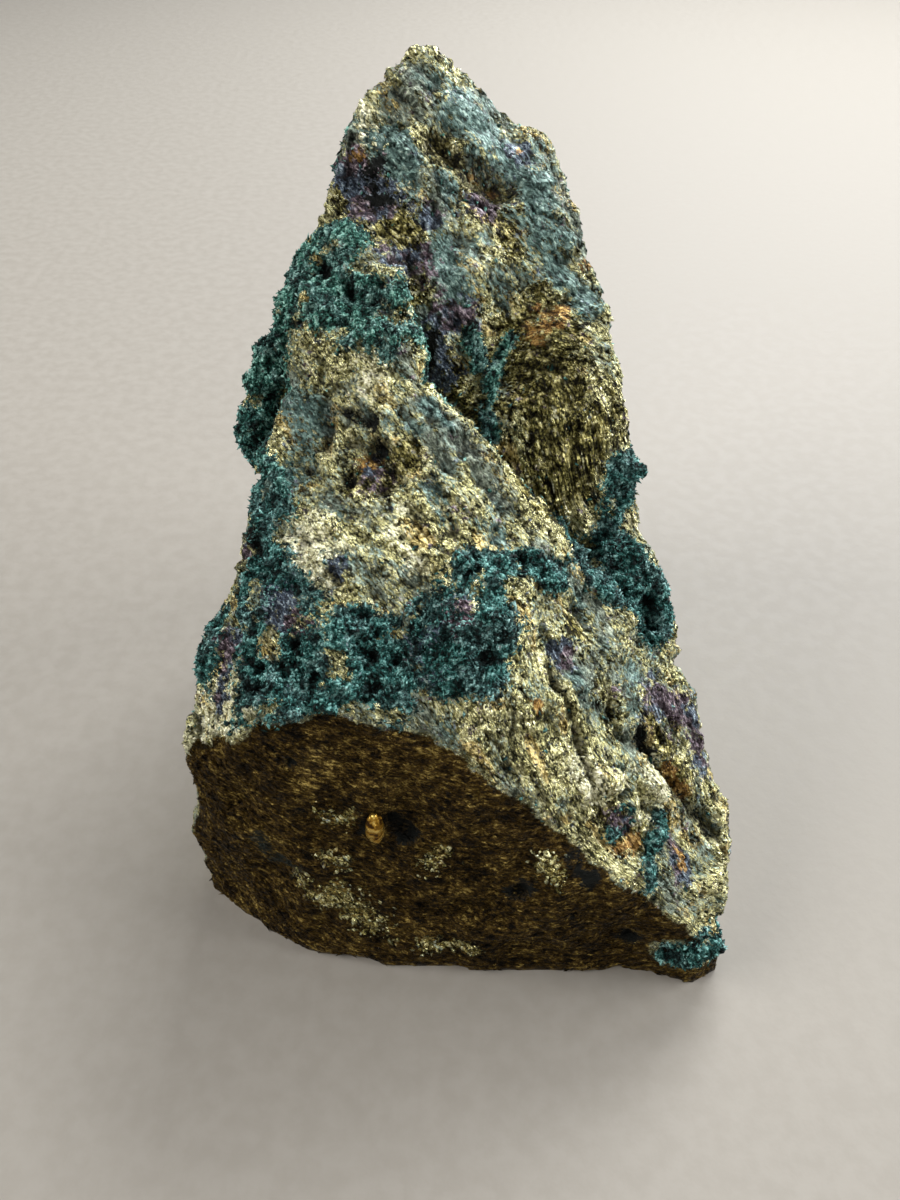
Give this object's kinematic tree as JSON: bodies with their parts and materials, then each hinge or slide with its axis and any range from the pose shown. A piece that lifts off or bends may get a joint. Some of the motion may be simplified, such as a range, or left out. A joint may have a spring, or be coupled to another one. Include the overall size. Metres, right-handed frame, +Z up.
{
  "type": "mineral specimen",
  "caption": "Rough broken lump of metallic ore with a granular crust, tapering to a peak, that rests on a flat fracture face.",
  "frame": {"origin": "centre of the bounding box's foot, on the flat fracture face that the lump rests on", "axes": "+Z up, +Y from the dark broken front face to the tall back, +X to the right as seen from the front"},
  "size_m": [0.0506, 0.062, 0.063],
  "materials": {
    "chalcopyrite": "metallic brassy gold grains under a dull grey and purple tarnish",
    "malachite": "dull, granular blue-green crust"
  },
  "bodies": {
    "root": {"specimen": "chalcopyrite"}
  },
  "joints": []
}
